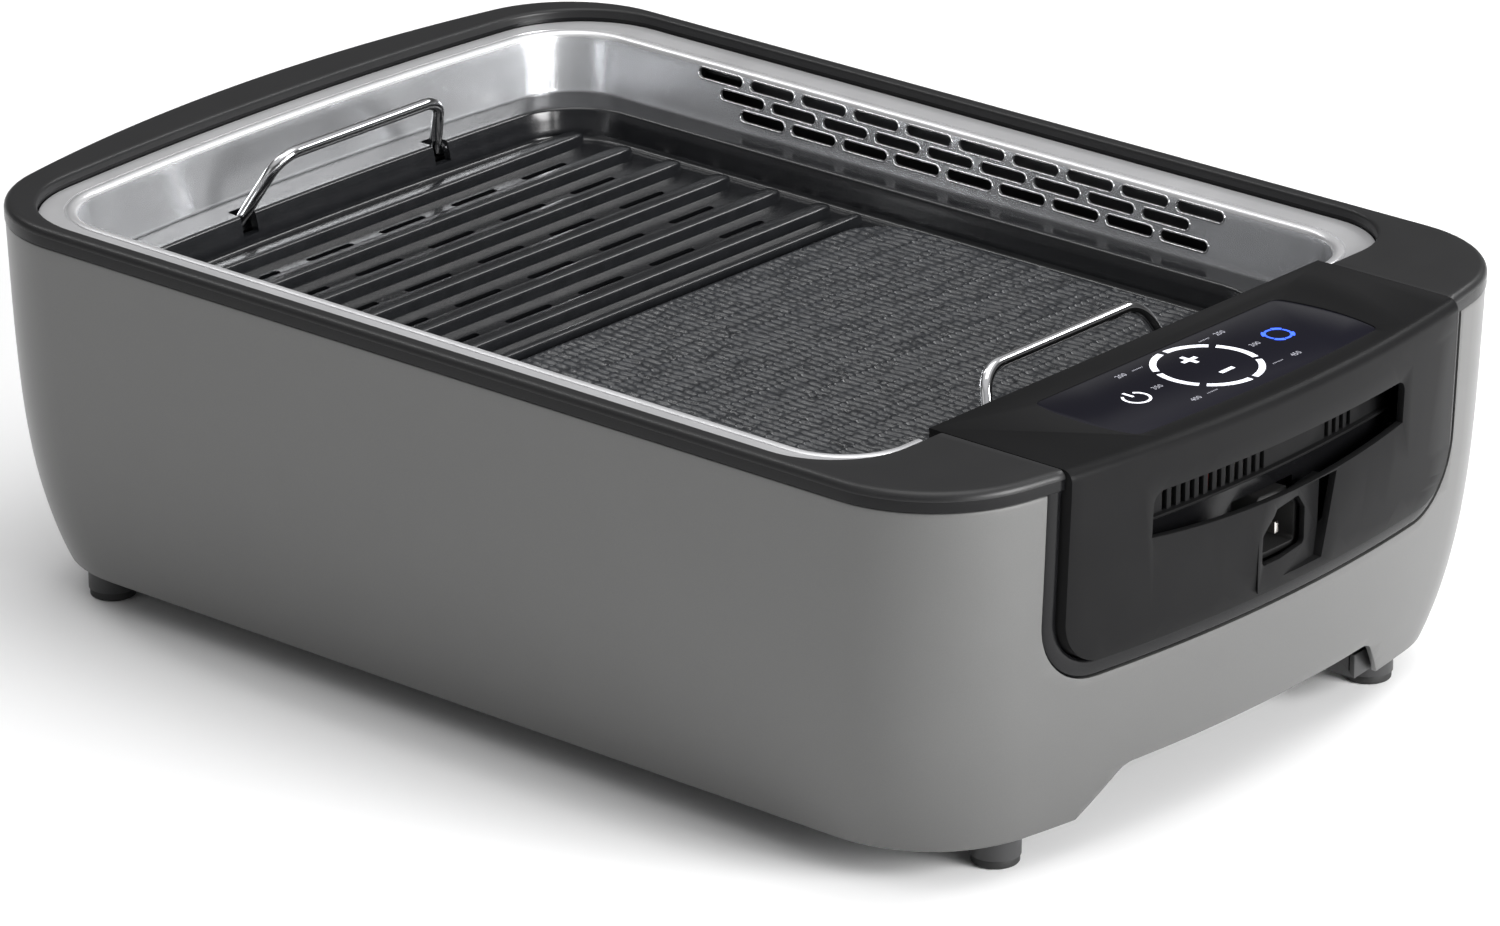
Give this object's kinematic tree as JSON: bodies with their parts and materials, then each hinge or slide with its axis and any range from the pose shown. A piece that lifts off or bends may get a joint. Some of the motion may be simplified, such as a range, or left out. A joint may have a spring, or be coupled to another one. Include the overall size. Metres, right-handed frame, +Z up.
{
  "type": "electric table-top grill",
  "caption": "Low rectangular electric smokeless grill with a ribbed and griddle plate, steel liner with smoke slots, lift-out tray and a touch-control fan unit at one end.",
  "frame": {"origin": "centre of the footprint on the surface the feet stand on", "axes": "+X along the length towards the control unit, +Y towards the wall with the smoke slots, +Z up"},
  "size_m": [0.5319, 0.353, 0.162],
  "materials": {
    "shell_paint": "satin metallic dark-silver paint",
    "frame_plastic": "satin black moulded plastic",
    "steel": "satin drawn stainless steel",
    "seal": "matt",
    "black_metal": "heat-resistant black coating",
    "duct_metal": "bare sheet",
    "base_plastic": "fine moulded texture",
    "foot_rubber": "matt",
    "fastener": "zinc plated",
    "tray_coating": "non-stick coating",
    "panel_glass": "gloss black-blue touch surface",
    "light_guide": "milky",
    "board": "circuit board",
    "inlet_plastic": "black",
    "pin_metal": "nickel plated",
    "grey_plastic": "glass-filled",
    "motor_metal": "zinc plated can",
    "element": "oxidised heating tube",
    "ceramic": "unglazed ceramic",
    "wire": "silicone insulated lead",
    "plate_coating": "black non-stick coating on cast aluminium",
    "chrome_wire": "polished chrome wire"
  },
  "bodies": {
    "base": {"outer_shell": "shell_paint", "top_frame": "frame_plastic", "steel_liner": "steel", "seal_ring": "seal", "heat_tub": "black_metal", "smoke_duct": "duct_metal", "duct_gasket": "seal", "bottom_cover": "base_plastic", "rubber_feet": "foot_rubber", "bottom_screws": "fastener"},
    "drip_tray": {"drip_tray": "tray_coating"},
    "control_unit": {"pod_shell": "frame_plastic", "pod_back": "black_metal", "pod_screws": "fastener", "touch_panel": "panel_glass", "light_guide": "light_guide", "control_board": "board", "power_board": "board", "power_inlet": "inlet_plastic", "inlet_pins": "pin_metal", "exhaust_louver": "frame_plastic", "fan_housing": "grey_plastic", "fan_motor": "motor_metal", "heating_element": "element", "terminal_block": "ceramic", "thermostat_probe": "steel", "element_clip": "steel", "thermal_fuse": "motor_metal", "inner_wiring": "wire"},
    "fan_rotor": {"motor_shaft": "steel", "fan_wheel": "grey_plastic"},
    "grill_plate": {"grill_plate": "plate_coating"},
    "handle_left": {"handle_left": "chrome_wire"},
    "handle_right": {"handle_right": "chrome_wire"}
  },
  "joints": [
    {"name": "tray_lift", "type": "slide", "parent": "base", "child": "drip_tray", "axis": [0, 0, 1], "range_m": [0, 0.13]},
    {"name": "unit_lift", "type": "slide", "parent": "drip_tray", "child": "control_unit", "axis": [0, 0, 1], "range_m": [0, 0.12]},
    {"name": "plate_lift", "type": "slide", "parent": "control_unit", "child": "grill_plate", "axis": [0, 0, 1], "range_m": [0, 0.12]},
    {"name": "handle_left_fold", "type": "hinge", "parent": "grill_plate", "child": "handle_left", "pos_m": [-0.2132, 0, 0.1286], "axis": [0, 1, 0], "range_deg": [-25, 45]},
    {"name": "handle_right_fold", "type": "hinge", "parent": "grill_plate", "child": "handle_right", "pos_m": [0.1717, 0, 0.1286], "axis": [0, 1, 0], "range_deg": [-45, 25]},
    {"name": "fan_spin", "type": "hinge", "parent": "control_unit", "child": "fan_rotor", "pos_m": [0.221, 0.057, 0.113], "axis": [0, 1, 0], "continuous": true}
  ]
}
